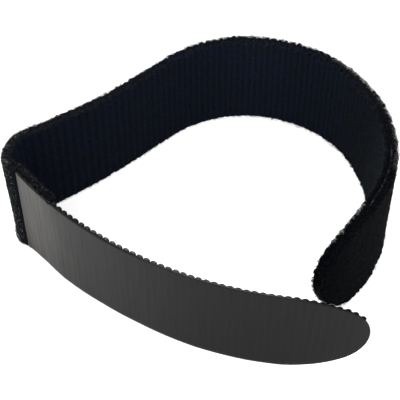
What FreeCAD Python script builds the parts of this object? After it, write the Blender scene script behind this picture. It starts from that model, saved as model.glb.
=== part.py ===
import FreeCAD, Part
import math
import os

import Sketcher
from FreeCAD import Placement, Rotation, Vector

doc = FreeCAD.newDocument("wrist_strap")
dims = doc.addObject("Spreadsheet::Sheet", "dims")

# Driving sizes in millimetres and degrees. The strap stands on its long edge and is seen in plan.
SIZES = [
    ("band_width", 25.0, "width of the band and of the hook tab"),
    ("core_thickness", 0.9, "ground weave in the middle of the band"),
    ("pile_thickness", 0.9, "loop pile on each face of the band"),
    ("weld_outer_pile", 0.15, "loop pile pressed flat between the tab and the band"),
    ("weld_inner_pile", 0.3, "loop pile pressed down by the welding tool"),
    ("start_east", -32.077, "plan position of the band's welded end"),
    ("start_north", -12.385, "plan position of the band's welded end"),
    ("start_heading", 135.63, "direction of the band from its welded end"),
    ("weld_radius", 89.6, "band under the tab's root, bent with it"),
    ("weld_turn", 7.7, "angle of that stretch"),
    ("ease_radius", 3.2, "outward curve where the band leaves the weld"),
    ("ease_turn", 24.0, "angle of that curve, which turns the other way"),
    ("bulge_radius", 3.6, "tight turn beside the tab's root"),
    ("bulge_turn", 65.0, "angle of the tight turn"),
    ("flank_radius", 12.173, "side of the fold"),
    ("flank_turn", 20.6, "angle of the side"),
    ("fold_radius", 4.441, "turn from the side into the loop"),
    ("fold_turn", 39.41, "angle of that turn"),
    ("left_radius", 106.8, "shallow hollow after the fold"),
    ("left_turn", 15.48, "angle of the hollow, which turns the other way"),
    ("waist_radius", 481.0, "nearly straight run"),
    ("waist_turn", 1.4, "angle of that run"),
    ("crown_radius", 28.5, "first turn of the big bend"),
    ("crown_turn", 52.0, "angle of the first turn"),
    ("back_radius", 32.8, "second turn of the big bend"),
    ("back_turn", 43.7, "angle of the second turn"),
    ("right_radius", 31.9, "third turn of the big bend"),
    ("right_turn", 30.4, "angle of the third turn"),
    ("bend_radius", 36.4, "stretch that flexes before the free end"),
    ("bend_turn", 18.9, "angle of that stretch"),
    ("side_radius", 41.4, "first turn of the free end"),
    ("side_turn", 29.8, "angle of that turn"),
    ("tip_radius", 68.0, "last turn of the free end"),
    ("tip_turn", 6.9, "angle of that turn"),
    ("tab_radius", 91.0, "smooth outer face of the hook tab"),
    ("tab_turn", 55.1, "angle of the whole tab"),
    ("tab_lead", 0.07, "angle from the weld's end to the tab's root"),
    ("pad_radius", 91.0, "the same face along the weld"),
    ("pad_turn", 7.56, "angle of the tab that is welded to the band"),
    ("film_thickness", 0.35, "film that carries the hooks"),
    ("pad_thickness", 0.45, "hooks melted flat into the band's pile"),
    ("end_length", 19.5, "length of the tab's rounded end"),
    ("nose_radius", 9.6, "radius at the tip of that end"),
    ("hook_pitch", 1.72, "from hook to hook along the tab"),
    ("hook_rows", 6, "rows of hooks across the tab"),
    ("hook_edge", 0.95, "from the tab's edge to the nearest hook's middle"),
    ("stem_side", 0.5, "side of a hook's square stem"),
    ("stem_height", 0.5, "from the film to the head's lip"),
    ("stem_root", 0.1, "length of stem inside the film"),
    ("lip_side", 1.1, "side of the head at its lip"),
    ("crown_side", 0.7, "side of the head's flat top"),
    ("head_height", 0.35, "from the lip to the head's top"),
]
for row, (alias, value, note) in enumerate(SIZES, start=1):
    dims.set(f"A{row}", alias)
    dims.set(f"B{row}", str(value))
    dims.set(f"C{row}", note)
    dims.setAlias(f"B{row}", alias)
doc.recompute()

UP = Vector(0, 0, 1)
LEFT, RIGHT = 1, -1


def size(alias):
    return float(getattr(dims, alias))


# The band's line in plan, from its welded end round to its free end, as turns that run on smoothly.
# The outside of the loop is always on the left of the line.
STRETCHES = {
    "welded_end": [("weld", RIGHT)],
    "fold": [("ease", LEFT), ("bulge", RIGHT), ("flank", RIGHT), ("fold", RIGHT)],
    "loop": [("left", LEFT), ("waist", RIGHT), ("crown", RIGHT), ("back", RIGHT), ("right", RIGHT)],
    "bend": [("bend", RIGHT)],
    "free_end": [("side", RIGHT), ("tip", RIGHT)],
}
TAB_LINE = [("tab", LEFT)]


def layers_of(stretch):
    """The layers of one stretch: how far left of the line each ends, in number and formula, and its size."""
    inner, outer = "pile_thickness", "pile_thickness"
    if stretch == "welded_end":
        inner, outer = "weld_inner_pile", "weld_outer_pile"
    half_core, half_text = size("core_thickness") / 2, "dims.core_thickness / 2"
    return {
        "inner_pile": (-half_core, f"-{half_text}", inner),
        "core": (half_core, half_text, "core_thickness"),
        "outer_pile": (half_core + size(outer), f"({half_text} + dims.{outer})", outer),
    }


def advance(place, line):
    """The place at the end of a line that starts at place."""
    for name, side in line:
        turn = side * size(f"{name}_turn")
        centre = Vector(0, side * size(f"{name}_radius"), 0)
        place = place * Placement(Vector(), Rotation(UP, turn), centre)
    return place


def turn_arc(start, name, side, left):
    """One turn's arc, at a distance left of the line, from a place on the line."""
    radius = size(f"{name}_radius")
    centre = start.multVec(Vector(0, side * radius, 0))
    heading = math.radians(start.Rotation.toEuler()[0])
    turn = math.radians(size(f"{name}_turn"))
    first = heading - side * math.pi / 2
    low, high = sorted((first, first + side * turn))
    return Part.ArcOfCircle(Part.Circle(centre, UP, radius - side * left), low, high)


def bind(sketch, constraint, name, formula):
    index = sketch.addConstraint(constraint)
    sketch.renameConstraint(index, name)
    sketch.setExpression(f"Constraints.{name}", formula)


def add_strip(body, name, line, left, left_text, thickness_alias):
    """Pads the band or film between two walls that follow a line from the body's origin."""
    thickness = size(thickness_alias)
    sketch = body.newObject("Sketcher::SketchObject", f"{name}_plan")
    sketch.AttachmentSupport = [(origin_plane(body, "XY_Plane"), "")]
    sketch.MapMode = "FlatFace"
    place = Placement()
    outer, inner = [], []
    for turn_name, side in line:
        outer.append(sketch.addGeometry(turn_arc(place, turn_name, side, left), False))
        inner.append(sketch.addGeometry(turn_arc(place, turn_name, side, left - thickness), False))
        place = advance(place, [(turn_name, side)])
    start = sketch.addGeometry(Part.LineSegment(Vector(0, left - thickness, 0), Vector(0, left, 0)), False)
    end = sketch.addGeometry(
        Part.LineSegment(place.multVec(Vector(0, left - thickness, 0)), place.multVec(Vector(0, left, 0))),
        False,
    )
    # An arc's first point is at its start on a left turn and at its end on a right one.
    first = {LEFT: 1, RIGHT: 2}
    last = {LEFT: 2, RIGHT: 1}
    vertical_axis, origin, middle = -2, -1, 3
    sketch.addConstraint(Sketcher.Constraint("PointOnObject", start, 1, vertical_axis))
    sketch.addConstraint(Sketcher.Constraint("PointOnObject", start, 2, vertical_axis))
    bind(sketch, Sketcher.Constraint("DistanceY", origin, 1, start, 2, left), "left_wall", left_text)
    bind(sketch, Sketcher.Constraint("DistanceY", start, 1, start, 2, thickness), "thickness",
         f"dims.{thickness_alias}")
    for index, (turn_name, side) in enumerate(line):
        sign = "-" if side == LEFT else "+"
        arc = outer[index]
        bind(sketch, Sketcher.Constraint("Radius", arc, size(f"{turn_name}_radius") - side * left),
             f"{turn_name}_radius", f"dims.{turn_name}_radius {sign} ({left_text})")
        bind(sketch, Sketcher.Constraint("Angle", arc, math.radians(size(f"{turn_name}_turn"))),
             f"{turn_name}_turn", f"dims.{turn_name}_turn * 1 deg")
        sketch.addConstraint(Sketcher.Constraint("Coincident", arc, middle, inner[index], middle))
        if index == 0:
            sketch.addConstraint(Sketcher.Constraint("Coincident", arc, first[side], start, 2))
            sketch.addConstraint(Sketcher.Constraint("Coincident", inner[0], first[side], start, 1))
            sketch.addConstraint(Sketcher.Constraint("PointOnObject", arc, middle, vertical_axis))
        else:
            before = line[index - 1][1]
            for walls in (outer, inner):
                sketch.addConstraint(Sketcher.Constraint(
                    "Tangent", walls[index - 1], last[before], walls[index], first[side]))
    side = line[-1][1]
    sketch.addConstraint(Sketcher.Constraint("Coincident", outer[-1], last[side], end, 2))
    sketch.addConstraint(Sketcher.Constraint("Coincident", inner[-1], last[side], end, 1))
    sketch.addConstraint(Sketcher.Constraint("PointOnObject", outer[-1], middle, end))
    pad = body.newObject("PartDesign::Pad", name)
    pad.Profile = sketch
    pad.setExpression("Length", "dims.band_width")
    return pad


def origin_plane(body, role):
    return next(item for item in body.Origin.OriginFeatures if item.Role == role)


def line_length(line):
    return sum(size(f"{name}_radius") * math.radians(size(f"{name}_turn")) for name, _ in line)


def place_along(line, distance):
    """The place on a line at a distance from its start."""
    place = Placement()
    for name, side in line:
        radius = size(f"{name}_radius")
        length = radius * math.radians(size(f"{name}_turn"))
        step = min(distance, length)
        centre = Vector(0, side * radius, 0)
        place = place * Placement(Vector(), Rotation(UP, side * math.degrees(step / radius)), centre)
        distance -= step
    return place


def round_end(body, name, line, end_length, nose_radius, nose_text):
    """Cuts the corners off the end of a strip, to two flanks and a nose, as punched when flat."""
    half = size("band_width") / 2
    margin = half
    tip = place_along(line, line_length(line)).Base
    chord = tip - place_along(line, line_length(line) - end_length).Base
    heading = math.degrees(math.atan2(chord.y, chord.x))
    sketch = body.newObject("Sketcher::SketchObject", f"{name}_outline")
    sketch.AttachmentSupport = [(origin_plane(body, "XZ_Plane"), "")]
    sketch.MapMode = "FlatFace"
    sketch.AttachmentOffset = Placement(Vector(tip.x, 0, -tip.y), Rotation(Vector(0, 1, 0), heading))
    nose_centre = Vector(-nose_radius, half, 0)
    low, high = Vector(-end_length, 0, 0), Vector(-end_length, 2 * half, 0)
    frame = [low, low - Vector(0, margin, 0), Vector(margin, -margin, 0),
             Vector(margin, 2 * half + margin, 0), high + Vector(0, margin, 0), high]
    if end_length > nose_radius:
        straight = end_length - nose_radius
        flank_radius = (straight ** 2 + half ** 2 - nose_radius ** 2) / (2 * (half - nose_radius))
        slope = math.asin(straight / (flank_radius - nose_radius))
        angle = math.pi / 2 - slope
        upper_centre = high - Vector(0, flank_radius, 0)
        lower_centre = low + Vector(0, flank_radius, 0)
        nose = Part.ArcOfCircle(Part.Circle(nose_centre, UP, nose_radius), -angle, angle)
        upper = Part.ArcOfCircle(Part.Circle(upper_centre, UP, flank_radius), angle, math.pi / 2)
        lower = Part.ArcOfCircle(Part.Circle(lower_centre, UP, flank_radius), -math.pi / 2, -angle)
        arcs = [lower, nose, upper]
    else:
        nose = Part.ArcOfCircle(Part.Circle(nose_centre, UP, nose_radius), -math.pi / 2, math.pi / 2)
        arcs = [nose]
    outline = [sketch.addGeometry(arc, False) for arc in arcs]
    sides = [sketch.addGeometry(Part.LineSegment(a, b), False) for a, b in zip(frame, frame[1:])]
    for before, after in zip(outline, outline[1:]):
        sketch.addConstraint(Sketcher.Constraint("Tangent", before, 2, after, 1))
    for before, after in zip(sides, sides[1:]):
        sketch.addConstraint(Sketcher.Constraint("Coincident", before, 2, after, 1))
    sketch.addConstraint(Sketcher.Constraint("Coincident", outline[0], 1, sides[0], 1))
    sketch.addConstraint(Sketcher.Constraint("Coincident", outline[-1], 2, sides[-1], 2))
    bind(sketch, Sketcher.Constraint("Radius", outline[len(outline) // 2], nose_radius),
         "nose_radius", nose_text)
    doc.recompute()
    volume = body.Shape.Volume
    pocket = body.newObject("PartDesign::Pocket", f"{name}_rounding")
    pocket.Profile = sketch
    pocket.Type = "ThroughAll"
    pocket.Midplane = True
    doc.recompute()
    if not body.Shape.Volume < volume:
        raise RuntimeError(f"{name}: the rounding cut nothing")


def half_height(distance_to_tip):
    """Half the tab's height at a distance from its tip."""
    half, nose, length = size("band_width") / 2, size("nose_radius"), size("end_length")
    straight = length - nose
    flank = (straight ** 2 + half ** 2 - nose ** 2) / (2 * (half - nose))
    nose_start = nose * (1 - straight / (flank - nose))
    if distance_to_tip >= length:
        return half
    if distance_to_tip > nose_start:
        return half - flank + math.sqrt(flank ** 2 - (length - distance_to_tip) ** 2)
    return math.sqrt(max(0.0, nose ** 2 - (nose - distance_to_tip) ** 2))


def make_band():
    """The band's three layers in each of its stretches, from the welded end round to the free end."""
    place = Placement(Vector(size("start_east"), size("start_north"), 0),
                      Rotation(UP, size("start_heading")))
    nodes = []
    for stretch, line in STRETCHES.items():
        for layer, (left, left_text, thickness_alias) in layers_of(stretch).items():
            name = f"{layer}_{stretch}"
            body = doc.addObject("PartDesign::Body", name)
            body.Label = name
            add_strip(body, f"{name}_strip", line, left, left_text, thickness_alias)
            body.Placement = place
            if stretch == "free_end":
                half = size("band_width") / 2
                round_end(body, name, line, half, half, "dims.band_width / 2")
            nodes.append(body)
        place = advance(place, line)
    return nodes


def tab_place():
    """The root of the tab's outer face, on a circle about the same centre as the welded end."""
    start = Placement(Vector(size("start_east"), size("start_north"), 0),
                      Rotation(UP, size("start_heading")))
    centre = start.multVec(Vector(0, RIGHT * size("weld_radius"), 0))
    heading = size("start_heading") - size("weld_turn") - 180 + size("tab_lead")
    radial = Rotation(UP, heading).multVec(Vector(0, -size("tab_radius"), 0))
    return Placement(centre + radial, Rotation(UP, heading))


def make_film():
    """The tab's smooth film, with the pad of flattened hooks that is welded to the band."""
    body = doc.addObject("PartDesign::Body", "tab_film")
    add_strip(body, "film", TAB_LINE, size("film_thickness"), "dims.film_thickness", "film_thickness")
    doc.recompute()
    add_strip(body, "pad", [("pad", LEFT)], size("film_thickness") + size("pad_thickness"),
              "(dims.film_thickness + dims.pad_thickness)", "pad_thickness")
    doc.recompute()
    round_end(body, "tab", TAB_LINE, size("end_length"), size("nose_radius"), "dims.nose_radius")
    return body


def make_hook():
    """One mushroom hook on a square stem: Y is away from the film, whose surface is at 0."""
    stem = doc.addObject("Part::Box", "hook_stem")
    stem.setExpression("Length", "dims.stem_side")
    stem.setExpression("Width", "dims.stem_height + dims.stem_root")
    stem.setExpression("Height", "dims.stem_side")
    stem.setExpression("Placement.Base.x", "-dims.stem_side / 2")
    stem.setExpression("Placement.Base.y", "-dims.stem_root")
    stem.setExpression("Placement.Base.z", "-dims.stem_side / 2")
    head = doc.addObject("Part::Wedge", "hook_head")
    for axis in "XZ":
        head.setExpression(f"{axis}min", "-dims.lip_side / 2")
        head.setExpression(f"{axis}max", "dims.lip_side / 2")
        head.setExpression(f"{axis}2min", "-dims.crown_side / 2")
        head.setExpression(f"{axis}2max", "dims.crown_side / 2")
    head.setExpression("Ymin", "dims.stem_height")
    head.setExpression("Ymax", "dims.stem_height + dims.head_height")
    hook = doc.addObject("Part::Fuse", "hook")
    hook.Base, hook.Tool = stem, head
    doc.recompute()
    return hook


def hook_places():
    """Where hooks stand on the film: rows along the tab, kept off its welded root and rounded end."""
    pitch, edge = size("hook_pitch"), size("hook_edge")
    rows = int(size("hook_rows"))
    rise = (size("band_width") - 2 * edge) / (rows - 1)
    length = line_length(TAB_LINE)
    pad_length = size("pad_radius") * math.radians(size("pad_turn"))
    columns = int((length - pad_length - edge) / pitch)
    tolerance = 0.01
    places = []
    for column in range(columns):
        distance = pad_length + (column + 0.5) * pitch
        place = place_along(TAB_LINE, distance)
        reach = half_height(length - distance) - edge
        for row in range(rows):
            above_middle = (row - (rows - 1) / 2) * rise
            if abs(above_middle) <= reach + tolerance:
                foot = Vector(0, size("film_thickness"), size("band_width") / 2 + above_middle)
                places.append(place * Placement(foot, Rotation()))
    return places


def make_tab():
    """The hook tab: film, weld pad and hooks, moulded as one piece."""
    film = make_film()
    hook = make_hook()
    field = doc.addObject("Part::Feature", "hook_field")
    field.Shape = Part.makeCompound([hook.Shape.transformed(place.toMatrix()) for place in hook_places()])
    tab = doc.addObject("Part::Fuse", "hook_tab")
    tab.Base, tab.Tool = film, field
    tab.Label = "hook_tab"
    tab.Placement = tab_place()
    return tab


nodes = make_band() + [make_tab()]
doc.recompute()

for item in doc.Objects:
    if "Invalid" in item.State or "Error" in item.State:
        raise RuntimeError(f"{item.Name} failed: {item.State}")
os.makedirs("parts", exist_ok=True)
for node in nodes:
    if node.Shape.isNull() or not node.Shape.isValid():
        raise RuntimeError(f"{node.Label} has no valid shape")
    node.Shape.exportStep(f"parts/{node.Label}.step")
    box = node.Shape.BoundBox
    print(f"{node.Label}: {len(node.Shape.Solids)} solid, {node.Shape.Volume:.1f} mm3,",
          f"x {box.XMin:.2f} {box.XMax:.2f} y {box.YMin:.2f} {box.YMax:.2f} z {box.ZMin:.2f} {box.ZMax:.2f}")
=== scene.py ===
import math

import bmesh
import bpy
import numpy as np
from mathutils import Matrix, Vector


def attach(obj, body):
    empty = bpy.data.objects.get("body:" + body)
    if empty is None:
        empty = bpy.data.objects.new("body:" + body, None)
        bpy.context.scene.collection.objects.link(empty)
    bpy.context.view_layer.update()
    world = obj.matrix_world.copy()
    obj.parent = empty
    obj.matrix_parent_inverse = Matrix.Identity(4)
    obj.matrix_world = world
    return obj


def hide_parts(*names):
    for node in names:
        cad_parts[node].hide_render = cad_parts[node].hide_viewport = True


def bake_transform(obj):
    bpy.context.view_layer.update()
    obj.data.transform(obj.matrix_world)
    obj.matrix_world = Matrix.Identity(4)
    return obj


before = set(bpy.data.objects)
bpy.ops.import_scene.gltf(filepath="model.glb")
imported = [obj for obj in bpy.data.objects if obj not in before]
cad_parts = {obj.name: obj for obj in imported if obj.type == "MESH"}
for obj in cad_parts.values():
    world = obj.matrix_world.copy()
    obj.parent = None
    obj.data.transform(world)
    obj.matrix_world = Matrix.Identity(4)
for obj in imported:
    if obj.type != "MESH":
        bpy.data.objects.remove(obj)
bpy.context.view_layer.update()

mm = 0.001
print("frame loaded:", len(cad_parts), "nodes")

cameraView = {
    "place": (-0.00025, -0.1763, 0.22025),
    "tiltDegrees": 40.0,  # up from looking straight down
    "lens": 105.75,
    "sensor": 36.0,
    "clip": (0.01, 50),
}


def addObject(name, data):
    made = bpy.data.objects.new(name, data)
    bpy.context.scene.collection.objects.link(made)
    return made


def setCamera():
    data = bpy.data.cameras.new("photoCamera")
    data.lens = cameraView["lens"]
    data.sensor_width = cameraView["sensor"]
    data.clip_start, data.clip_end = cameraView["clip"]
    camera = addObject("photoCamera", data)
    camera.location = cameraView["place"]
    camera.rotation_euler = (math.radians(cameraView["tiltDegrees"]), 0, 0)
    bpy.context.scene.camera = camera


def findNode(tree, kind):
    return next(item for item in tree.nodes if item.type == kind)


# a material, with the shader's values that are the same all over it
def newMaterial(name, values):
    material = bpy.data.materials.new(name)
    material.use_nodes = True
    shader = findNode(material.node_tree, "BSDF_PRINCIPLED")
    for label, value in values.items():
        shader.inputs[label].default_value = value
    return material, material.node_tree, shader


floorPlan = {
    "side": 6.0,
    "drop": 0.0002,
    "shader": {
        "Base Color": (0.90, 0.90, 0.89, 1),
        "Roughness": 0.75,
        "Emission Color": (0.90, 0.90, 0.89, 1),
        "Emission Strength": 0.74,  # lifts the shadows, as on a lit white sweep
    },
}


def layFloor():
    half = floorPlan["side"] / 2
    mesh = bpy.data.meshes.new("floor")
    corners = [(-half, -half, 0), (half, -half, 0), (half, half, 0), (-half, half, 0)]
    mesh.from_pydata(corners, [], [(0, 1, 2, 3)])
    floor = addObject("floor", mesh)
    floor.location.z = -floorPlan["drop"]
    mesh.materials.append(newMaterial("paleFloor", floorPlan["shader"])[0])


lightPlan = {
    "skyStrength": 0.75,
    "skyColour": (0.97, 0.985, 1, 1),
    "aim": (0, 0, 0.01),
    "lamps": [  # name, place, size, power
        ("backSoftbox", (-0.35, 0.75, 1.1), 0.9, 16),
        ("frontSoftbox", (-0.45, -0.85, 1.3), 1, 6),
    ],
}


def hangLights():
    world = bpy.data.worlds.new("studioSky")
    bpy.context.scene.world = world
    world.use_nodes = True
    background = findNode(world.node_tree, "BACKGROUND")
    background.inputs["Color"].default_value = lightPlan["skyColour"]
    background.inputs["Strength"].default_value = lightPlan["skyStrength"]
    for name, place, side, power in lightPlan["lamps"]:
        data = bpy.data.lights.new(name, "AREA")
        data.size = side
        data.energy = power
        lamp = addObject(name, data)
        lamp.location = place
        toward = Vector(lightPlan["aim"]) - Vector(place)
        lamp.rotation_euler = toward.to_track_quat("-Z", "Y").to_euler()


setCamera()
layFloor()
hangLights()
bpy.context.scene.view_settings.view_transform = "Standard"
print("camera, floor and lights placed")

# Lines in plan, in millimetres. Every piece of the strap follows one of the two.
bandPlan = {
    "start": (-32.077, -12.385),
    "heading": 135.63,
    "turns": [  # radius, degrees to the left
        (89.6, -7.7),  # under the tab's root
        (3.2, 24),  # out of the weld
        (3.6, -65),
        (12.173, -20.6),
        (4.441, -39.41),  # round the fold
        (106.8, 15.48),
        (481, -1.4),
        (28.5, -52),  # the crown
        (32.8, -43.7),
        (31.9, -30.4),
        (36.4, -18.9),  # where the free end flexes
        (41.4, -29.8),
        (68, -6.9),
    ],
}
tabPlan = {"start": (-41.130, -4.36), "heading": -52, "turns": [(91, 55.1)]}


def layLine(plan):
    x, y = plan["start"]
    heading = math.radians(plan["heading"])
    rows = []
    distance = 0.0
    for radius, degrees in plan["turns"]:
        turn = math.radians(degrees)
        bend = math.copysign(1 / radius, turn)
        rows.append((distance, x, y, heading, bend))
        x += (math.sin(heading + turn) - math.sin(heading)) / bend
        y -= (math.cos(heading + turn) - math.cos(heading)) / bend
        heading += turn
        distance += abs(turn) * radius
    return {"rows": np.array(rows), "length": distance}


# plan position and heading at a distance along a line
def onLine(line, distance):
    rows = line["rows"]
    index = np.clip(np.searchsorted(rows[:, 0], distance, side="right") - 1, 0, len(rows) - 1)
    start, x, y, heading, bend = np.moveaxis(rows[index], -1, 0)
    turned = heading + bend * (distance - start)
    x = x + (np.sin(turned) - np.sin(heading)) / bend
    y = y - (np.cos(turned) - np.cos(heading)) / bend
    return x, y, turned


# a point at a distance along the line, a distance left of it and a height, in metres
def offLine(line, distance, left, height):
    distance, left, height = np.broadcast_arrays(distance, left, height)
    x, y, heading = onLine(line, distance)
    point = np.stack([x - left * np.sin(heading), y + left * np.cos(heading), height], axis=-1)
    return point * mm


bandLine = layLine(bandPlan)
tabLine = layLine(tabPlan)
print("band", round(bandLine["length"], 1), "mm, tab", round(tabLine["length"], 1), "mm")


def addPiece(name, points, faces, mapping, material):
    mesh = bpy.data.meshes.new(name)
    points = np.asarray(points, np.float32).reshape(-1, 3)
    faces = np.asarray(faces, np.int32)
    mesh.vertices.add(len(points))
    mesh.vertices.foreach_set("co", points.ravel())
    mesh.loops.add(faces.size)
    mesh.loops.foreach_set("vertex_index", faces.ravel())
    mesh.polygons.add(len(faces))
    mesh.polygons.foreach_set("loop_start", np.arange(0, faces.size, faces.shape[1], dtype=np.int32))
    mesh.polygons.foreach_set("use_smooth", np.ones(len(faces), dtype=bool))
    mesh.update(calc_edges=True)
    layer = mesh.uv_layers.new(name="weaveMap")
    corners = np.asarray(mapping, np.float32).reshape(-1, 2)[faces.ravel()]
    layer.uv.foreach_set("vector", corners.ravel())
    mesh.materials.append(material)
    return addObject(name, mesh)


# quads between the neighbours of a grid of points, closed round its second side
def ringFaces(rows, columns):
    index = np.arange(rows * columns).reshape(rows, columns)
    index = np.concatenate([index, index[:, :1]], axis=1)
    corners = [index[:-1, :-1], index[1:, :-1], index[1:, 1:], index[:-1, 1:]]
    return np.stack(corners, axis=-1).reshape(-1, 4)


# the same for many equal tubes of points, one after the other
def tubeFaces(count, knots, sides):
    base = (np.arange(count) * knots * sides)[:, None, None]
    step = (np.arange(knots - 1) * sides)[None, :, None]
    around = np.arange(sides)[None, None, :]
    here = base + step + around
    then = base + step + (around + 1) % sides
    return np.stack([here, then, then + sides, here + sides], axis=-1).reshape(-1, 4)


# joins points in the same place, and puts flat caps on rings that were left open
def finishMesh(piece, rings=()):
    mesh = bmesh.new()
    mesh.from_mesh(piece.data)
    mesh.verts.ensure_lookup_table()
    for first, count, flip in rings:
        ring = [mesh.verts[first + step] for step in range(count)]
        face = mesh.faces.new(ring[::-1] if flip else ring)
        face.smooth = False
        for edge in face.edges:
            edge.smooth = False
    bmesh.ops.remove_doubles(mesh, verts=mesh.verts, dist=1e-8)
    mesh.to_mesh(piece.data)
    mesh.free()


# even noise on a grid, softened over a few cells, with a spread of one
def softNoise(rng, shape, passes):
    noise = rng.standard_normal(shape)
    for step in range(passes):
        noise = (np.roll(noise, 1, 0) + 2 * noise + np.roll(noise, -1, 0)) / 4
        noise = (np.roll(noise, 1, 1) + 2 * noise + np.roll(noise, -1, 1)) / 4
    return noise / noise.std()


def smooth(low, high, value):
    share = np.clip((value - low) / (high - low), 0, 1)
    return share * share * (3 - 2 * share)


def fromTable(table, value):
    where, amount = zip(*table)
    return np.interp(value, where, amount)


band = {
    "width": 25.0,
    "step": 0.25,
    "faceColumns": 76,
    "edgeColumns": 7,
    "endRadius": 12.5,
    "endSteps": 60,
    "seam": 79.0,  # where the loop's piece meets the free end's
    "outerReach": ((0, 0.57), (12.2, 0.57), (13.3, 1.2), (20, 1.25), (70, 1.3), (85, 1.4), (102, 1.4),
                   (110, 1.2), (134, 1.15), (145, 1.65), (155, 1.85), (163, 1.5), (176, 1.4)),
    "innerReach": ((0, 0.75), (11, 0.75), (13.3, 1), (30, 1.1), (60, 1.15), (80, 1.4), (176, 1.45)),
    # how far the strap leans off the upright at its lower and upper edge: distance, east, north
    "lowerShift": ((0, 0, 0), (4, 0.05, -0.2), (8, 0.15, -0.7), (12, 0.4, -1.9), (15.5, 0.45, -2.4),
                   (20, 0.5, -1.9), (26, 0.3, -1.4), (36, 0.1, -0.7), (50, 0, -0.3), (75, 0, -0.1),
                   (108, 0, 0), (117, -0.4, -0.2), (125, -1.15, -0.4), (133, -1.25, -0.3), (140, -0.4, 0),
                   (146, 0, -0.05), (155, 0.1, -0.15), (163, 0.2, -0.15), (170, 0.3, 0.1),
                   (176, 0.4, 0.3)),
    "upperShift": ((0, 0, 0), (12, 0, 0), (16, -0.7, 0), (22, -0.6, 0.1), (27, -0.1, 0.35),
                   (36, -0.1, 0.6), (45, 0, 0.4), (60, 0, 0.25), (75, -0.1, 0.25), (105, 0, 0.2),
                   (112, -0.1, 0), (120, -0.3, 0), (132, -0.15, 0), (141, 0.05, 0), (148, -0.2, 0.1),
                   (155, -0.75, 0.4), (162, -0.75, 0.4), (167, -0.65, 0.35), (170, -0.85, 0.55),
                   (173, -1.4, 0.8), (176, -1.6, 0.6)),
    "edgeInset": 0.32,  # roundness of the pile along both edges
    "edgeDrop": 0.02,
    # the groove along each edge, between the two piles
    "grooveHalf": 0.2,
    "groovePlaces": (0.85, 0.3, -0.3, -0.85),
    "grooveDepth": ((0, 0.06), (112, 0.06), (120, 0.2), (136, 0.15), (140, 0.1), (157, 0.1), (161, 0),
                    (176, 0)),
    "grooveSunk": 0.1,  # how far an open groove lies below the piles
    "grooveRough": 0.05,
    "grooveBare": (138, 157.5),  # where no loops hide the groove and the core shows
    "grooveClear": 0.34,  # how far to each side of its middle the loops keep away there
    # ribs across the face, along the upper edge and along the lower edge
    "ribPitch": ((0, 2), (40, 2), (62, 1.75), (85, 1.55), (180, 1.55)),
    "ribMarks": (-1, 181, 0.1),  # first and last distance and step for counting them
    "faceRib": ((0, 0.035), (50, 0.035), (75, 0.055), (176, 0.05)),
    "edgeRib": ((0, 0.1), (60, 0.1), (80, 0.25), (108, 0.35), (176, 0.3)),
    "lowerEdgeRib": 0.05,
    # lumps of the pile, from noise in three sizes: passes of softening, height
    "seed": 11,
    "coarseLumps": (2, 0.7),
    "fineLumps": (1, 0.5),
    "slowLumps": (14, 0.03),
    "clumps": 0.04,  # height of the coarse and fine lumps together
    "flatPile": (0.5, 1.1),  # pile pressed down to the first reach has no lumps, from the second all
    "hem": (-0.8, -1.0),  # where on the face the lumps near the lower edge begin and are full
    "hemLumps": ((0, 0.5), (90, 0.8), (110, 2.6), (176, 1.6)),
    "ragged": ((0, 1.3), (70, 1.6), (85, 3.6), (105, 5.8), (145, 5.4), (160, 3.6), (176, 2.5)),
    # how the materials' map goes round the band
    "weaveHeight": 1.6,
    "edgeRound": 3.0,  # the map's length over the upper edge
    "faceFrom": 0.9,  # a point beyond this share of the reach lies on a face
    "rimDepth": 1.0,  # the rim of the rounded end, mapped as the upper edge is
    "rimFrom": 8.0,  # from this height up
}


bandStraight = bandLine["length"] - band["endRadius"]


# ribs counted from the welded end
def ribCount(distance):
    first, last, step = band["ribMarks"]
    marks = np.linspace(first, last, round((last - first) / step) + 1)
    counted = np.cumsum(step / fromTable(band["ribPitch"], marks))
    return np.interp(distance, marks, counted)


# Runs along the band in ribs, and round it: up the outer face, over the upper edge and down the inner face.
def weaveMapping(distance, left, height):
    width, over = band["width"], band["edgeRound"]
    outer, inner = pileReach(distance, 1), pileReach(distance, -1)
    onOuter = left > band["faceFrom"] * outer
    onInner = left < -band["faceFrom"] * inner
    around = np.where(onOuter, height, 2 * width + over - height)
    beyond = np.maximum(distance - bandStraight, 0)
    fromMiddle = np.hypot(beyond, height - width / 2)
    nearRim = (fromMiddle > width / 2 - band["rimDepth"]) & (height > band["rimFrom"])
    share = np.clip((left + inner) / (outer + inner), 0, 1)
    around = np.where(nearRim & ~onOuter & ~onInner, width + over * (1 - share), around)
    return np.stack([ribCount(distance), around / band["weaveHeight"]], axis=-1)


def pileReach(distance, side):
    return fromTable(band["outerReach" if side > 0 else "innerReach"], distance)


# moves points by what a table says for their distance, in the share given for each
def shiftBy(points, table, distance, share):
    where, east, north = np.array(table).T
    points[..., 0] += np.interp(distance, where, east) * share * mm
    points[..., 1] += np.interp(distance, where, north) * share * mm


def onBand(distance, left, height):
    points = offLine(bandLine, distance, left, height)
    upper = height / band["width"]
    shiftBy(points, band["lowerShift"], distance, 1 - upper)
    shiftBy(points, band["upperShift"], distance, upper)
    return points


# The columns round the band: outer face, upper edge, inner face, lower edge. Each is a kind, a value,
# which edge it belongs to and which side of the band's line it is on.
def bandColumns():
    faces = np.linspace(-1, 1, band["faceColumns"])
    turn = np.linspace(0, math.pi, band["edgeColumns"] + 2)[1:-1]
    columns = [("face", share, 0, 1) for share in faces]
    for edge, first in ((1, 1), (-1, -1)):
        columns += [("edge", angle, edge, first) for angle in turn]
        columns += [("groove", place * first, edge, 0) for place in band["groovePlaces"]]
        columns += [("edge", angle, edge, -first) for angle in turn[::-1]]
        if edge == 1:
            columns += [("face", share, 0, -1) for share in faces[::-1]]
    return columns


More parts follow.
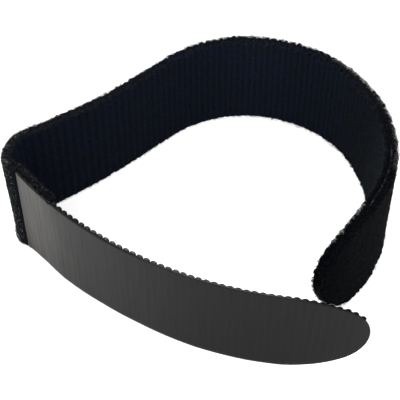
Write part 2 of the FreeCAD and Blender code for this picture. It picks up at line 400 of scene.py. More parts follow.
# distances along the band, and at its rounded end the angle of the outline there
def bandStations():
    straight = np.arange(0, bandStraight, band["step"])
    angle = np.linspace(0, math.pi / 2, band["endSteps"])
    distance = np.concatenate([straight, bandStraight + band["endRadius"] * np.sin(angle)])
    return distance, np.concatenate([np.zeros(len(straight)), angle])


# all points of the band's skin: distance, left and height in a row for each station
def weaveBand(station, angle, columns):
    rng = np.random.default_rng(band["seed"])
    shape = (len(station), len(columns))
    half, inset, groove = band["width"] / 2, band["edgeInset"], band["grooveHalf"]
    ribs = np.cos(2 * math.pi * ribCount(station))
    faceRib = fromTable(band["faceRib"], station)
    sizes = [band["coarseLumps"], band["fineLumps"], band["slowLumps"]]
    coarse, fine, slow = [softNoise(rng, shape, passes) for passes, high in sizes]
    lumps = band["clumps"] * (sizes[0][1] * coarse + sizes[1][1] * fine) + sizes[2][1] * slow
    left, deep = np.zeros(shape), np.zeros(shape)
    heightShare = np.zeros(len(columns))
    for column, (kind, value, edge, side) in enumerate(columns):
        reach = pileReach(station, side)
        loose = smooth(*band["flatPile"], reach)
        if kind == "face":
            hem = 1 + smooth(*band["hem"], value) * fromTable(band["hemLumps"], station)
            puff = loose * (hem * lumps[:, column] + faceRib * ribs)
            left[:, column] = side * (reach + puff)
            deep[:, column] = inset
            heightShare[column] = value
        elif kind == "edge":
            most = fromTable(band["edgeRib"], station) if edge > 0 else band["lowerEdgeRib"]
            ragged = fromTable(band["ragged"], station) if edge > 0 else 1
            bump = faceRib + most * math.sin(value)
            puff = loose * (ragged * lumps[:, column] + bump * ribs)
            halfPile = (reach - groove) / 2
            swell = (halfPile + puff * math.cos(value)) * math.cos(value)
            left[:, column] = side * (groove + halfPile + swell)
            deep[:, column] = inset - (inset + puff) * math.sin(value)
            heightShare[column] = edge
        else:
            left[:, column] = value * groove
            pit = fromTable(band["grooveDepth"], station)
            sunk = band["grooveSunk"] * smooth(0.0, band["grooveSunk"], pit)
            deep[:, column] = sunk + pit * (1 - value * value) - band["grooveRough"] * fine[:, column]
            heightShare[column] = edge
    deep = deep + band["edgeDrop"]
    distance = station[:, None] - deep * np.sin(angle)[:, None]
    height = half + heightShare * (half - deep) * np.cos(angle)[:, None]
    return distance, left, height


def makeBandSkin(material, coreMaterial):
    station, angle = bandStations()
    columns = bandColumns()
    count = len(columns)
    distance, left, height = weaveBand(station, angle, columns)
    points = onBand(distance, left, height)
    mapping = weaveMapping(distance, left, height)
    inGroove = np.array([kind == "groove" for kind, value, edge, side in columns])
    bareFrom, bareTo = band["grooveBare"]
    seamRow = int(band["seam"] / band["step"])
    skins = {}
    for name, low, high in (("strapLoopSide", 0, seamRow + 1), ("strapFreeSide", seamRow, len(station))):
        rows = high - low
        piece = addPiece(name, points[low:high], ringFaces(rows, count), mapping[low:high], material)
        piece.data.materials.append(coreMaterial)
        places = station[low:high - 1]
        bare = (places > bareFrom) & (places < bareTo)
        index = bare[:, None] & (inGroove & np.roll(inGroove, -1))[None, :]
        piece.data.polygons.foreach_set("material_index", index.astype(np.int32).ravel())
        caps = [(0, count, False)]
        if high < len(station):
            caps.append(((rows - 1) * count, count, True))
        finishMesh(piece, caps)
        skins[name] = piece
    return skins


fuzz = {
    "seed": 23,
    "facePerMm2": 1.4,
    "edgePerMm": 30.0,
    "faceSize": (0.09, 0.2),
    "edgeSize": (0.14, 0.4),
    # along the band, as its upper edge grows more ragged
    "edgeGrowth": ((0, 1), (75, 1), (95, 1.2), (110, 1.45), (148, 1.45), (158, 1)),
    "thickness": (0.018, 0.04),
    "knots": 6,
    "sides": 3,
    # a loop's curl: how far past half a turn each end goes, and its lift and sway in shares of its size
    "tuck": 0.75,
    "lift": 0.45,
    "sway": 0.35,
    # on the faces
    "faceMargin": 0.4,
    "coveredTo": 13.0,  # the outer face lies under the tab up to here
    "faceSunk": 0.05,
    "faceSpread": 0.35,
    "faceRise": (0.7, 1.5),
    # on the edges
    "edgeTilt": 0.75,
    "edgeSpread": 0.45,
    "edgeRise": (0.7, 1.6),
    "longLoops": 0.06,  # share of the loops that stand out, and by how much
    "longBy": 0.7,
    "lowerFrom": 3 * math.pi / 4,  # from this angle down the free end's outline they are shorter
    "lowerSize": 0.6,
    # how deep the feet sit: least, and more away from the crest, which is a share of the reach
    "sunk": 0.08,
    "crest": 0.6,
    "crestFall": 0.5,
    "crestPower": 1.5,
    "innerFrom": 0.2,
    "innerSunk": 0.1,
    "floorGap": -0.1,  # loops are pressed flat below this height
    "floorPress": 0.1,
}
# Tufts of loops painted pale as a painted highlight where loops catch the light, on the upper edge: from,
# to, low and high reach, loops, size.
tufts = {
    "foldTop": (14.5, 26, -0.2, 1.3, 170, (0.1, 0.3)),
    "leftTop": (26, 72, 0.9, 1.35, 220, (0.1, 0.3)),
    "weldStrip": (2, 13.5, -0.9, 0.4, 90, (0.08, 0.2)),
    "freeEdge": (157, 172, -1.5, -1, 110, (0.12, 0.3)),
    "freeTuftFirst": (158.2, 159, -1.3, -0.9, 60, (0.16, 0.34)),
    "freeTuftSecond": (160.3, 161.5, -1.3, -0.9, 56, (0.16, 0.32)),
    "freeTuftThird": (162.6, 163.6, -1.3, -0.9, 36, (0.16, 0.3)),
    "freeTuftFourth": (166.7, 167.3, -1.3, -0.9, 70, (0.18, 0.38)),
    "freeTuftFifth": (169, 169.6, -1.3, -0.9, 34, (0.14, 0.3)),
    "crownTop": (72, 112, 0.9, 1.4, 340, (0.14, 0.38)),
    "rightTop": (108, 146, 0.7, 1.3, 760, (0.18, 0.52)),
}
# the same on the outer face, round the fold: from, to, up to this height, loops in a square millimetre, size
faceTufts = {
    "fold": (13.5, 24, 25, 6, (0.045, 0.11)),
    "silhouette": (18.5, 23.5, 25, 4, (0.06, 0.15)),
    "corner": (14.5, 21, 2.6, 45, (0.12, 0.26)),
}


def unit(vector):
    return vector / np.linalg.norm(vector, axis=-1, keepdims=True)


# slim tubes round rows of points
def tubesAlong(middle, cross, thickness):
    tangent = unit(np.gradient(middle, axis=1))
    first = np.cross(np.broadcast_to(cross[:, None, :], tangent.shape), tangent)
    first = first / np.maximum(np.linalg.norm(first, axis=2, keepdims=True), 1e-9)
    second = np.cross(tangent, first)
    sides = fuzz["sides"]
    ring = (np.arange(sides) * 2 * math.pi / sides)[None, None, :, None]
    radius = thickness[:, None, None, None]
    points = middle[:, :, None, :] + radius * (
        np.cos(ring) * first[:, :, None, :] + np.sin(ring) * second[:, :, None, :])
    return points.reshape(-1, 3), tubeFaces(len(middle), middle.shape[1], sides)


# a curl for every foot: it rises from the pile and goes back into it
def curlTubes(feet, thickness):
    turn = np.linspace(-fuzz["tuck"], math.pi + fuzz["tuck"], fuzz["knots"])[None, :, None]
    normal = feet["normal"][:, None, :]
    cross = unit(np.cross(feet["normal"], feet["sideways"]))
    along = np.cross(cross, feet["normal"])[:, None, :]
    size = feet["size"][:, None, None]
    rise = size * feet["rise"][:, None, None]
    middle = feet["foot"][:, None, :] + normal * (rise * (np.sin(turn) + fuzz["lift"]))
    middle = middle + along * (size * np.cos(turn))
    middle = middle + cross[:, None, :] * (size * fuzz["sway"] * np.sin(2 * turn))
    return tubesAlong(middle, cross, thickness)


upward = np.array([0, 0, 1.0])


# directions at a distance along the band: forward and left
def bandDirections(distance):
    heading = onLine(bandLine, distance)[2]
    zero = np.zeros_like(heading)
    forward = np.stack([np.cos(heading), np.sin(heading), zero], axis=-1)
    leftward = np.stack([-np.sin(heading), np.cos(heading), zero], axis=-1)
    return forward, leftward


def pick(feet, chosen):
    return {key: value[chosen] for key, value in feet.items()}


def gather(groups):
    return {key: np.concatenate([group[key] for group in groups]) for key in groups[0]}


# feet of loops on one face of the band
def faceFeet(rng, side, along, density, size):
    half, margin = band["width"] / 2, fuzz["faceMargin"]
    count = int(density * (along[1] - along[0]) * band["width"])
    distance = rng.uniform(*along, count)
    height = rng.uniform(margin, band["width"] - margin, count)
    beyond = np.maximum(distance - bandStraight, 0)
    inside = np.hypot(beyond, height - half) < half - margin
    if side > 0:
        inside &= distance > fuzz["coveredTo"]
    distance, height = distance[inside], height[inside]
    forward, leftward = bandDirections(distance)
    spin = rng.uniform(0, 2 * math.pi, len(distance))[:, None]
    reach = pileReach(distance, side)
    return {
        "distance": distance,
        "left": side * reach,
        "height": height,
        "foot": onBand(distance, side * (reach - fuzz["faceSunk"]), height),
        "normal": unit(side * leftward + fuzz["faceSpread"] * rng.standard_normal(forward.shape)),
        "sideways": unit(np.cos(spin) * forward + np.sin(spin) * upward),
        "size": rng.uniform(*size, len(distance)) * mm,
        "rise": rng.uniform(*fuzz["faceRise"], len(distance)),
    }


# feet on the band's edge, given where they are along it, how far left, and the angle of the outline
def footOnEdge(rng, distance, reach, turned, size):
    half = band["width"] / 2
    forward, leftward = bandDirections(distance)
    outward = np.sin(turned)[:, None] * forward + np.cos(turned)[:, None] * upward
    outer = pileReach(distance, 1)
    inner = pileReach(distance, -1)
    reach = np.clip(reach, -inner, outer)
    share = np.where(reach > 0, reach / outer, -reach / inner)
    drop = fuzz["sunk"] + fuzz["crestFall"] * np.abs(share - fuzz["crest"]) ** fuzz["crestPower"]
    drop = drop + fuzz["innerSunk"] * (share < fuzz["innerFrom"])
    height = half + (half - drop) * np.cos(turned)
    distance = distance - drop * np.sin(turned)
    tilt = fuzz["edgeTilt"] * np.sign(reach)[:, None] * share[:, None] * leftward
    spin = rng.uniform(0, 2 * math.pi, len(distance))[:, None]
    tangent = np.cross(outward, leftward)
    return {
        "distance": distance,
        "left": reach,
        "height": height,
        "foot": onBand(distance, reach, height),
        "normal": unit(outward + tilt + fuzz["edgeSpread"] * rng.standard_normal(forward.shape)),
        "sideways": unit(np.cos(spin) * tangent + np.sin(spin) * leftward),
        "size": size * mm,
        "rise": rng.uniform(*fuzz["edgeRise"], len(distance)),
    }


# feet along both edges and round the free end
def edgeFeet(rng):
    radius = band["endRadius"]
    bow = math.pi * radius
    path = 2 * bandStraight + bow
    count = int(fuzz["edgePerMm"] * path)
    where = rng.uniform(0, path, count)
    turned = np.clip((where - bandStraight) / radius, 0, math.pi)
    onBow = bandStraight + radius * np.sin(turned)
    onLower = where > bandStraight + bow
    distance = np.where(where < bandStraight, where, np.where(onLower, path - where, onBow))
    share = rng.uniform(-1, 1, count)
    reach = share * np.where(share > 0, pileReach(distance, 1), pileReach(distance, -1))
    size = rng.uniform(*fuzz["edgeSize"], count)
    size = size * (1 + fuzz["longBy"] * (rng.uniform(0, 1, count) > 1 - fuzz["longLoops"]))
    size = size * np.where(turned > fuzz["lowerFrom"], fuzz["lowerSize"], 1)
    size = size * fromTable(fuzz["edgeGrowth"], distance)
    start, end = band["grooveBare"]
    clear = (distance > start) & (distance < end) & (np.abs(reach) < band["grooveClear"])
    return pick(footOnEdge(rng, distance, reach, turned, size), ~clear)


def tuftFeet(rng):
    groups = []
    for low, high, least, most, count, size in tufts.values():
        distance = rng.uniform(low, high, count)
        reach = rng.uniform(least, most, count)
        turned = np.arcsin(np.clip((distance - bandStraight) / band["endRadius"], 0, 1))
        groups.append(footOnEdge(rng, distance, reach, turned, rng.uniform(*size, count)))
    for low, high, top, density, size in faceTufts.values():
        feet = faceFeet(rng, 1, (low, high), density, size)
        groups.append(pick(feet, feet["height"] < top))
    return gather(groups)


def raiseLoops(rng, name, feet, material):
    thickness = rng.uniform(*fuzz["thickness"], len(feet["distance"])) * mm
    points, faces = curlTubes(feet, thickness)
    height, lowest = points[:, 2], fuzz["floorGap"] * mm
    points[:, 2] = np.where(height < lowest, lowest + fuzz["floorPress"] * (height - lowest), height)
    mapping = weaveMapping(feet["distance"], feet["left"], feet["height"])
    mapping = np.repeat(mapping, fuzz["knots"] * fuzz["sides"], axis=0)
    print(name, len(feet["distance"]), "loops")
    return addPiece(name, points, faces, mapping, material)


def makeFuzz(material, glintingMaterial):
    rng = np.random.default_rng(fuzz["seed"])
    whole = (0, bandLine["length"])
    faces = [faceFeet(rng, side, whole, fuzz["facePerMm2"], fuzz["faceSize"]) for side in (1, -1)]
    # the last kind are loops painted pale as glints, a painted highlight
    kinds = (("faceLoops", gather(faces), material), ("edgeLoops", edgeFeet(rng), material),
             ("glintingLoops", tuftFeet(rng), glintingMaterial))
    loopSide, freeSide = [], []
    for kind, feet, finish in kinds:
        before = feet["distance"] < band["seam"]
        loopSide.append(raiseLoops(rng, f"{kind}LoopSide", pick(feet, before), finish))
        freeSide.append(raiseLoops(rng, f"{kind}FreeSide", pick(feet, ~before), finish))
    return loopSide, freeSide


tab = {
    "film": 0.35,
    "halfHeight": 12.5,
    "endLength": 19.5,
    "noseRadius": 9.9,
    "endSteps": 40,
    "step": 0.4,
    "faceColumns": 41,
    "tipSlope": -200,  # the outline runs straight down at the nose's tip
    "bevel": 0.1,
    "rimCorner": 0.03,
    # how far the lower edge stands out
    "lean": ((0, 0), (8, 0.15), (14, 0.35), (26, 0), (36, 0), (50, 0.4), (62, 0.4), (74, 0.1), (90, 0.3)),
    "lowerShift": ((0, 0.4, -1.6), (2, 0.2, -0.8), (4, 0.05, -0.3), (8, 0, 0.1), (12, 0, 0.1), (20, 0, 0),
                   (90, 0, 0)),
    "skew": 0.6,  # how far the rounded end's upper half reaches beyond its lower half
    "nick": {"at": 11.8, "width": 0.45, "depth": 0.5, "share": (0.8, 1.0)},
}


# half the film's height at a distance along the tab
def tabOutline(distance):
    length, half = tabLine["length"], tab["halfHeight"]
    nose, straight = tab["noseRadius"], tab["endLength"] - tab["noseRadius"]
    flank = (straight ** 2 + half ** 2 - nose ** 2) / (2 * (half - nose))
    noseStart = nose * (1 - straight / (flank - nose))
    left = length - distance
    onFlank = half - flank + np.sqrt(np.maximum(flank ** 2 - (tab["endLength"] - left) ** 2, 0))
    onNose = np.sqrt(np.maximum(nose ** 2 - (nose - left) ** 2, 0))
    return np.where(left >= tab["endLength"], half, np.where(left > noseStart, onFlank, onNose))


def onTab(distance, left, height):
    lower = 1 - height / band["width"]
    rounded = smooth(tabLine["length"] - tab["endLength"], tabLine["length"], distance)
    distance = distance + tab["skew"] * (1 - 2 * lower) * rounded
    points = offLine(tabLine, distance, left - fromTable(tab["lean"], distance) * lower, height)
    shiftBy(points, tab["lowerShift"], distance, lower)
    return points


# a piece of the tab, its faces turned outwards, with the map in hook pitches
def addTabPiece(name, distance, left, height, faces, material):
    mapping = np.stack([distance / hook["pitch"], height / hook["pitch"]], axis=-1)
    return addPiece(name, onTab(distance, left, height), faces[:, ::-1], mapping, material)


def makeTabFilm(material, rimMaterial):
    length, half, nose = tabLine["length"], tab["halfHeight"], tab["noseRadius"]
    straight = np.arange(0, length - nose, tab["step"])
    angle = np.linspace(0, math.pi / 2, tab["endSteps"])
    station = np.concatenate([straight, length - nose + nose * np.sin(angle)])
    reach = tabOutline(station)
    slope = np.gradient(reach, station)
    slope[-1] = tab["tipSlope"]
    normal = unit(np.stack([slope, -np.ones_like(slope)], axis=-1))
    normal[station < length - tab["endLength"]] = (0, -1)
    nick = tab["nick"]
    dip = nick["depth"] * np.exp(-((station - nick["at"]) / nick["width"]) ** 2)
    shares = np.linspace(-1, 1, tab["faceColumns"])
    bevel, film, corner = tab["bevel"], tab["film"], tab["rimCorner"]
    rim = [(corner, corner), (0.0, film / 2), (corner, film - corner)]
    # which edge, share of the height or distance in from the rim, and depth in the film
    columns = [(0, share, 0.0) for share in shares]
    columns += [(1, inward, depth) for inward, depth in rim]
    columns += [(0, share, film) for share in shares[::-1]]
    columns += [(-1, inward, depth) for inward, depth in rim[::-1]]
    rows, count = len(station), len(columns)
    distance, height, left = np.zeros((3, rows, count))
    for column, (edge, value, depth) in enumerate(columns):
        left[:, column] = depth
        if edge == 0:
            distance[:, column] = station + normal[:, 0] * bevel
            top = reach + normal[:, 1] * bevel
            height[:, column] = half + value * top - dip * smooth(*nick["share"], value)
        else:
            distance[:, column] = station + normal[:, 0] * value
            height[:, column] = half + edge * (reach + normal[:, 1] * value) - dip * (edge == 1)
    piece = addTabPiece("tabFilm", distance, left, height, ringFaces(rows, count), material)
    piece.data.materials.append(rimMaterial)
    isRim = np.ones(count, dtype=np.int32)
    isRim[:len(shares) - 1] = 0
    piece.data.polygons.foreach_set("material_index", np.tile(isRim, rows - 1))
    finishMesh(piece, [(0, count, True)])
    return piece


hook = {
    # the outline to be turned: radius and distance from the film
    "profile": [(0.86, -0.03), (0.8, 0.12), (0.64, 0.22), (0.58, 0.28), (0.68, 0.3), (0.82, 0.36),
                (0.79, 0.47), (0.66, 0.63), (0.45, 0.76), (0.2, 0.84), (0, 0.86)],
    "sides": 12,
    "seed": 5,
    "spread": 0.02,  # of the places and the widths
    "pitch": 1.72,
    "rows": 15,
    "edge": 0.75,  # from the tab's edges to the outer rows
    "margin": 0.7,  # least distance from a hook's middle to the rounded outline
    # how tall the hooks stand along the tab, in shares of the outline's height
    "reach": ((0, 1.2), (25, 1.2), (34, 1.08), (44, 0.92), (52, 0.7), (60, 0.5), (70, 0.4), (76, 0.65),
              (84, 0.5)),
}


def hookPlaces():
    pitch, rows = hook["pitch"], hook["rows"]
    rise = (band["width"] - 2 * hook["edge"]) / (rows - 1)
    places = []
    for column in range(int((tabLine["length"] - pad["length"]) / pitch)):
        distance = pad["length"] + (column + 0.5) * pitch
        most = min(float(tabOutline(np.array([distance]))[0]) - hook["margin"], (rows - 1) / 2 * rise)
        count = int(2 * most / rise + 1e-6) + 1  # the small share keeps rounding from losing a row
        places += [(distance, up) for up in np.linspace(-most, most, count)]
    return np.array(places)


def makeHooks(material):
    rng = np.random.default_rng(hook["seed"])
    places, profile = hookPlaces(), np.array(hook["profile"])
    count, sides = len(places), hook["sides"]
    ring = (np.arange(sides) * 2 * math.pi / sides)[None, None, :]
    middle = places + rng.normal(0, hook["spread"], (count, 2))
    grow = rng.normal(1, hook["spread"], count)
    radius = profile[:, 0][None, :, None] * grow[:, None, None]
    tall = fromTable(hook["reach"], places[:, 0])[:, None, None]
    depth = profile[:, 1][None, :, None] * tall * np.ones((count, 1, sides))
    along = middle[:, 0][:, None, None] + radius * np.cos(ring)
    height = tab["halfHeight"] + (middle[:, 1][:, None, None] + radius * np.sin(ring))
    faces = tubeFaces(count, len(profile), sides)
    piece = addTabPiece("tabHooks", along, tab["film"] + depth, height, faces, material)
    finishMesh(piece)
    print("tabHooks", count, "hooks")
    return piece


# the hooks at the tab's root, melted flat into the pile
pad = {
    "seed": 9,
    "start": 0.1,
    "length": 12.0,
    "top": 0.8,
    "sunk": 0.02,  # into the film
    "inset": 0.35,  # from the tab's edges
    "rough": 0.05,
    "edgeRough": 0.12,
    "rows": 49,
    "columns": 51,
}


def makeWeldPad(material):
    rng = np.random.default_rng(pad["seed"])
    station = np.linspace(pad["start"], pad["length"], pad["rows"])
    shares = np.linspace(-1, 1, pad["columns"])
    columns = [(share, tab["film"] - pad["sunk"]) for share in shares]
    columns += [(share, pad["top"]) for share in shares[::-1]]
    rows, count, half = len(station), len(columns), tab["halfHeight"]
    bumps = softNoise(rng, (rows, count), 1)
    distance = np.repeat(station[:, None], count, axis=1)
    left, height = np.zeros((2, rows, count))
    for column, (share, depth) in enumerate(columns):
        melted = pad["rough"] if depth == pad["top"] else 0
        ragged = pad["edgeRough"] if abs(share) == 1 else 0
        left[:, column] = depth + melted * bumps[:, column]
        height[:, column] = half + share * (half - pad["inset"]) + ragged * bumps[:, column]
    piece = addTabPiece("weldPad", distance, left, height, ringFaces(rows, count), material)
    finishMesh(piece, [(0, count, True), ((rows - 1) * count, count, False)])
    return piece


def addNode(tree, kind, **values):
    made = tree.nodes.new(kind)
    for name, value in values.items():
        if hasattr(made, name):
            setattr(made, name, value)
        else:
            made.inputs[name.replace("_", " ")].default_value = value
    return made


# a source is a node and the name of its output, here and below
def link(source, target, entry):
    node, output = source
    target.id_data.links.new(node.outputs[output], target.inputs[entry])


# the map that every piece carries
def readMap(tree):
    return addNode(tree, "ShaderNodeUVMap", uv_map="weaveMap"), "UV"


# a place on the map as two values: along the piece, and round or up it
def splitPlace(tree, place):
    parts = addNode(tree, "ShaderNodeSeparateXYZ")
    link(place, parts, "Vector")
    return (parts, "X"), (parts, "Y")


# an empty node group with named inputs, and named outputs that are all plain values
def newGroup(name, entries, outputs):
    tree = bpy.data.node_groups.new(name, "ShaderNodeTree")
    for label, kind in entries.items():
        tree.interface.new_socket(label, in_out="INPUT", socket_type=f"NodeSocket{kind}")
    for label in outputs:
        tree.interface.new_socket(label, in_out="OUTPUT", socket_type="NodeSocketFloat")
    return tree, tree.nodes.new("NodeGroupInput"), tree.nodes.new("NodeGroupOutput")


# the first input of each group is the place on the map
def useGroup(tree, group, place, **values):
    made = tree.nodes.new("ShaderNodeGroup")
    made.node_tree = group
    link(place, made, 0)
    for name, value in values.items():
        made.inputs[name].default_value = value
    return made


def mathNode(tree, operation, *entries):
    made = addNode(tree, "ShaderNodeMath", operation=operation)
    for entry, value in enumerate(entries):
        if isinstance(value, tuple):
            link(value, made, entry)
        else:
            made.inputs[entry].default_value = value
    return made, "Value"


# a wave from -1 to 1 that peaks at each whole number
def addWave(tree, source):
    return mathNode(tree, "COSINE", mathNode(tree, "MULTIPLY", source, 2 * math.pi))


def addNoise(tree, place, **values):
    made = addNode(tree, "ShaderNodeTexNoise", **values)
    link(place, made, "Vector")
    return made, "Fac"


def addRamp(tree, source, stops):
    ramp = addNode(tree, "ShaderNodeValToRGB")
    link(source, ramp, "Fac")
    elements = ramp.color_ramp.elements
    while len(elements) < len(stops):
        elements.new(0.5)
    for element, (position, colour) in zip(elements, stops):
        element.position = position
        element.color = (*colour, 1)
    return ramp, "Color"


# a value read from a table of pairs, over the range of the table's first column
def addTable(tree, source, table, scale=1.0):
    low, high = table[0][0], table[-1][0]
    top = max(value for place, value in table)
    share = addNode(tree, "ShaderNodeMapRange", From_Min=low * scale, From_Max=high * scale)
    link(source, share, "Value")
    stops = [((place - low) / (high - low), (value / top,) * 3) for place, value in table]
    return mathNode(tree, "MULTIPLY", addRamp(tree, (share, "Result"), stops), top)


def scaleColour(tree, colour, factor):
    made = addNode(tree, "ShaderNodeVectorMath", operation="SCALE")
    link(colour, made, 0)
    link(factor, made, "Scale")
    return made, "Vector"


def addBump(source, shader, strength, distance):
    bump = addNode(shader.id_data, "ShaderNodeBump", Strength=strength, Distance=distance)
    link(source, bump, "Height")
    link((bump, "Normal"), shader, "Normal")


# How light and how faded the pile is along the band, on its outer and inner sides, and how light it is round
# the band: the outer face up to 25, the edge up to 28 and then the inner face. The lightness along the band
# is painted light and shade, and the lighter upper edge and top of the inner face are painted light from
# above.
# The last table is a painted highlight for the loops painted pale as glints.
pileTone = {
    "outer": ((0, 0.75), (12, 0.75), (14, 1.1), (25, 1.2), (120, 1.2), (128, 0.8), (138, 0.5), (150, 0.33),
              (176, 0.38)),
    "inner": ((0, 1.2), (25, 1.3), (50, 1.3), (75, 1.5), (88, 1.75), (100, 1.5), (115, 1.2), (123, 0.95),
              (133, 1.05), (150, 1), (176, 0.9)),
    "round": ((0, 1), (24.6, 1), (25.2, 1.3), (27.6, 1.3), (28.4, 1.3), (34, 1.22), (43, 1.04),
              (53, 0.92)),
    "outerFaded": ((0, 1), (35, 1), (65, 0), (105, 0), (125, 0.6), (176, 0.5)),
    "innerFaded": ((0, 0), (105, 0), (125, 0.7), (176, 0.6)),
    "split": ((0, 1), (27.4, 1), (28.3, 0), (53, 0)),
    "glinting": ((0, 1.3), (112, 1.4), (125, 1.2), (133, 0.8), (143, 0.6), (156, 0.7), (157, 2.6), (176, 2.6)),
}


def inRibs(table):
    return [(float(ribCount(place)), value) for place, value in table]


# ribs and clumps of the pile: how light it is, with painted shade between the ribs and the painted light and
# shade of the tables above, how far it stands out and how faded it is
def ribGroup():
    entries = {"Weave": "Vector", "Depth": "Float", "Clumps": "Float"}
    tree, entry, out = newGroup("ribbedPile", entries, ("Shade", "Height", "Faded"))
    place = (entry, "Weave")
    along, around = splitPlace(tree, place)
    clumped = mathNode(tree, "SUBTRACT", addNoise(tree, place, **pileLook["streaks"]), 0.5)
    ribbed = mathNode(tree, "MULTIPLY", addWave(tree, along), (entry, "Depth"))
    spotted = mathNode(tree, "MULTIPLY", clumped, (entry, "Clumps"))
    height = mathNode(tree, "ADD", ribbed, spotted)
    # the same height, plus one, darkens the colour between the ribs: painted shade
    shade = mathNode(tree, "ADD", height, 1.0)
    toMap = 1 / band["weaveHeight"]
    split = addTable(tree, around, pileTone["split"], toMap)
    bySide = []
    for inner, outer in (("inner", "outer"), ("innerFaded", "outerFaded")):
        mix = addNode(tree, "ShaderNodeMix", data_type="FLOAT")
        link(split, mix, "Factor")
        link(addTable(tree, along, inRibs(pileTone[inner])), mix, "A")
        link(addTable(tree, along, inRibs(pileTone[outer])), mix, "B")
        bySide.append((mix, "Result"))
    lightness, faded = bySide
    # painted light and shade along the band and round it
    placed = mathNode(tree, "MULTIPLY", lightness, addTable(tree, around, pileTone["round"], toMap))
    link(mathNode(tree, "MULTIPLY", shade, placed), out, "Shade")
    link(height, out, "Height")
    link(faded, out, "Faded")
    return tree


# grain of moulded plastic, drawn out as asked
def grainGroup():
    tree, entry, out = newGroup("mouldedGrain", {"Place": "Vector", "Draw": "Vector"}, ("Tone",))
    drawn = addNode(tree, "ShaderNodeVectorMath", operation="MULTIPLY")
    link((entry, "Place"), drawn, 0)
    link((entry, "Draw"), drawn, 1)
    link(addNoise(tree, (drawn, "Vector"), **plasticLook["grain"]), out, "Tone")
    return tree


pileLook = {
    "navy": (0.0033, 0.0048, 0.0098),
    "black": (0.0036, 0.0046, 0.0078),
    "blotches": {"Scale": 0.35, "Detail": 2.0},
    "levels": (0.4, 0.6),  # of the blotches' noise, between which navy turns into black
    "faded": (0.0050, 0.0064, 0.0074),  # less blue
    "streaks": {"Scale": 2.4, "Detail": 4, "Roughness": 0.7},
    # how deep the ribs stand in the bump, and how dark the painted shade between them is
    "ribDepth": 0.19,
    "clumps": 1.1,
    "bump": (0.6, 0.0003),
    "shader": {"Roughness": 0.95, "Specular IOR Level": 0.02},
}


def pileFinish(ribs):
    material, tree, shader = newMaterial("loopPile", pileLook["shader"])
    place = readMap(tree)
    blotches = addNoise(tree, place, **pileLook["blotches"])
    stops = list(zip(pileLook["levels"], (pileLook["navy"], pileLook["black"])))
    shade = useGroup(tree, ribs, place, Depth=pileLook["ribDepth"], Clumps=pileLook["clumps"])
    # a colour mix takes its colours at 6 and 7 and gives them at 2
    sided = addNode(tree, "ShaderNodeMix", data_type="RGBA")
    link((shade, "Faded"), sided, "Factor")
    link(addRamp(tree, blotches, stops), sided, 6)
    sided.inputs[7].default_value = (*pileLook["faded"], 1)
    # the colour carries painted shade between the ribs and painted light and shade along and round the band
    link(scaleColour(tree, (sided, 2), (shade, "Shade")), shader, "Base Color")
    addBump((shade, "Height"), shader, *pileLook["bump"])
    return material


fibreLook = {
    "dark": [(0, (0.003, 0.004, 0.007)), (0.7, (0.006, 0.0075, 0.012)), (0.93, (0.011, 0.013, 0.019)),
             (1.0, (0.032, 0.035, 0.042))],
    "darkShader": {"Roughness": 0.5, "Specular IOR Level": 0.1},
    # colours of the loops painted pale as glints: painted highlight
    "glinting": [(0, (0.015, 0.016, 0.02)), (0.5, (0.05, 0.05, 0.055)), (0.85, (0.13, 0.127, 0.122)),
             (1.0, (0.34, 0.325, 0.29))],
    "glintingShader": {"Roughness": 0.5, "Specular IOR Level": 0.4},
    # the dark loops get the same painted shade between the ribs
    "ribDepth": 0.2,
    "clumps": 0.4,
}


# One tone for each loop of fibre. The dark loops share the pile's ribs, with their painted shade and painted
# light;
# the loops painted pale as glints have their own table of painted highlight.
def fibreFinish(name, kind, ribs=None):
    material, tree, shader = newMaterial(name, fibreLook[f"{kind}Shader"])
    place = readMap(tree)
    chance = addNode(tree, "ShaderNodeTexWhiteNoise", noise_dimensions="2D")
    link(place, chance, "Vector")
    if ribs:
        shade = useGroup(tree, ribs, place, Depth=fibreLook["ribDepth"], Clumps=fibreLook["clumps"])
        lightness = (shade, "Shade")
    else:
        along = splitPlace(tree, place)[0]
        lightness = addTable(tree, along, inRibs(pileTone[kind]))
    colour = scaleColour(tree, addRamp(tree, (chance, "Value"), fibreLook[kind]), lightness)
    link(colour, shader, "Base Color")
    return material


coreLook = {
    "threads": {"Scale": 1.1, "Detail": 3.0, "Roughness": 0.6},
    "stops": [(0.46, (0.003, 0.0036, 0.006)), (0.62, (0.036, 0.038, 0.046))],
    "shader": {"Roughness": 0.8, "Specular IOR Level": 0.1},
}


def coreFinish():
    material, tree, shader = newMaterial("coreWeave", coreLook["shader"])
    threads = addNoise(tree, readMap(tree), **coreLook["threads"])
    link(addRamp(tree, threads, coreLook["stops"]), shader, "Base Color")
    return material


# the film's places are in hook pitches from its root
filmLook = {
    "streakDraw": (2.6, 0.12, 1),
    "patchDraw": (0.22, 0.1, 1),
    # the warm, lighter colour near the root is a painted warm reflection
    "warmReflection": (0.0225, 0.0195, 0.0145),
    "cool": (0.0025, 0.0025, 0.0028),
    "warmReflectionUntil": 20,
    "levels": (0.45, 1),  # between which warm turns into cool
    "lines": 0.25,
    "streakShare": 2,
    "streaks": ((0, 0.12), (12, 0.11), (22, 0.05), (30, 0.02), (52, 0.015)),
    "specular": 0.5,
    "bump": (0.12, 0.0001),
    "shader": {"Roughness": 0.33, "IOR": 1.177},
}


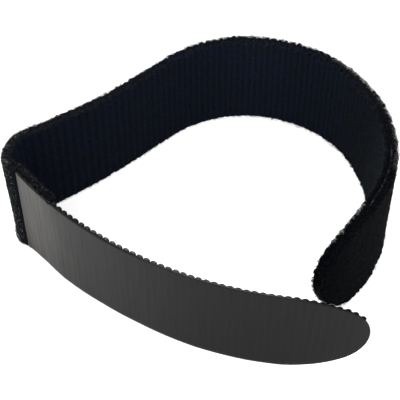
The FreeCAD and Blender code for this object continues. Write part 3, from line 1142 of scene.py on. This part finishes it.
def filmFinish(grain):
    material, tree, shader = newMaterial("tabFilm", filmLook["shader"])
    place = readMap(tree)
    along = splitPlace(tree, place)[0]
    streaks = useGroup(tree, grain, place, Draw=filmLook["streakDraw"])
    patches = useGroup(tree, grain, place, Draw=filmLook["patchDraw"])
    # warmer and lighter near the root, in patches: a painted warm reflection
    away = mathNode(tree, "DIVIDE", along, filmLook["warmReflectionUntil"])
    shifted = mathNode(tree, "ADD", away, (patches, "Tone"))
    stops = list(zip(filmLook["levels"], (filmLook["warmReflection"], filmLook["cool"])))
    # faint lines over the rows of hooks
    lines = mathNode(tree, "MULTIPLY", addWave(tree, along), filmLook["lines"])
    strong = mathNode(tree, "MULTIPLY", (streaks, "Tone"), filmLook["streakShare"])
    drawn = mathNode(tree, "ADD", lines, strong)
    link(scaleColour(tree, addRamp(tree, shifted, stops), drawn), shader, "Base Color")
    addBump(drawn, shader, *filmLook["bump"])
    # the streaks also show in how much light the film throws back
    centred = mathNode(tree, "SUBTRACT", strong, filmLook["streakShare"] / 2)
    swing = mathNode(tree, "MULTIPLY", centred, addTable(tree, along, filmLook["streaks"]))
    gloss = mathNode(tree, "ADD", swing, filmLook["specular"])
    link(gloss, shader, "Specular IOR Level")
    return material


# The hooks' plastic and the film's rim. By hook pitches from the root, how far the hooks' heads shine and
# how much lighter the plastic is painted there, a painted glint of light from behind. Up the tab, only its
# upper edge gets the painted glint.
plasticLook = {
    "grain": {"Scale": 1.0, "Detail": 3.0},
    "draw": (3, 3, 1),
    "levels": (0.35, 0.65),
    "hookColours": ((0.008, 0.008, 0.008), (0.02, 0.019, 0.018)),
    "hookShader": {"Roughness": 0.2, "IOR": 1.6},
    "hookShine": ((0, 0.1), (12, 0.15), (15.5, 1), (52, 1)),
    "hookPale": ((0, 0), (14, 0), (17, 2), (24, 4), (30, 8), (40, 8), (43, 1), (52, 0)),
    "rimColours": ((0.003, 0.003, 0.003), (0.006, 0.006, 0.006)),
    "rimShader": {"Roughness": 0.7, "IOR": 1.25},
    "rimPale": ((0, 0), (20, 0), (28, 9), (40, 9), (43, 1), (52, 0)),
    "upperEdge": ((0, 0), (13.1, 0), (13.8, 1), (15, 1)),
}


def plasticFinish(name, grain, kind):
    material, tree, shader = newMaterial(name, plasticLook[f"{kind}Shader"])
    place = readMap(tree)
    along, up = splitPlace(tree, place)
    spots = useGroup(tree, grain, place, Draw=plasticLook["draw"])
    stops = list(zip(plasticLook["levels"], plasticLook[f"{kind}Colours"]))
    # painted glint: lighter along the tab's far part, on its upper edge only
    glintAlong = addTable(tree, along, plasticLook[f"{kind}Pale"])
    glintLift = mathNode(tree, "MULTIPLY", glintAlong, addTable(tree, up, plasticLook["upperEdge"]))
    colour = scaleColour(tree, addRamp(tree, (spots, "Tone"), stops), mathNode(tree, "ADD", glintLift, 1.0))
    link(colour, shader, "Base Color")
    if kind == "hook":
        link(addTable(tree, along, plasticLook["hookShine"]), shader, "Specular IOR Level")
    return material


ribs = ribGroup()
grain = grainGroup()
pile = pileFinish(ribs)
core = coreFinish()
fibre = fibreFinish("pileFibre", "dark", ribs)
# the loops painted pale as glints
glintingLoop = fibreFinish("glintingFibre", "glinting")
film = filmFinish(grain)
rim = plasticFinish("filmRim", grain, "rim")
hookPlastic = plasticFinish("hookPlastic", grain, "hook")
print("finishes mixed")

skins = makeBandSkin(pile, core)
print("band woven")
loopSide, freeSide = makeFuzz(fibre, glintingLoop)
print("loops raised")
tabFilm = makeTabFilm(film, rim)
hooks = makeHooks(hookPlastic)
weldPad = makeWeldPad(hookPlastic)
print("tab moulded")

# the band's pieces stay fixed in place of the frame's band layers, which are hidden; the tab's pieces go on
# the tab's body, whose frame part is hidden
for piece in [skins["strapLoopSide"]] + loopSide:
    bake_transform(piece)
for piece in [skins["strapFreeSide"]] + freeSide:
    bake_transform(piece)
for layer in ("inner_pile", "core", "outer_pile"):
    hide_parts(f"{layer}_welded_end", f"{layer}_fold", f"{layer}_loop")
    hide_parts(f"{layer}_loop", f"{layer}_bend", f"{layer}_free_end")
for piece in (tabFilm, hooks, weldPad):
    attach(piece, "hook_tab")
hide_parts("hook_tab")
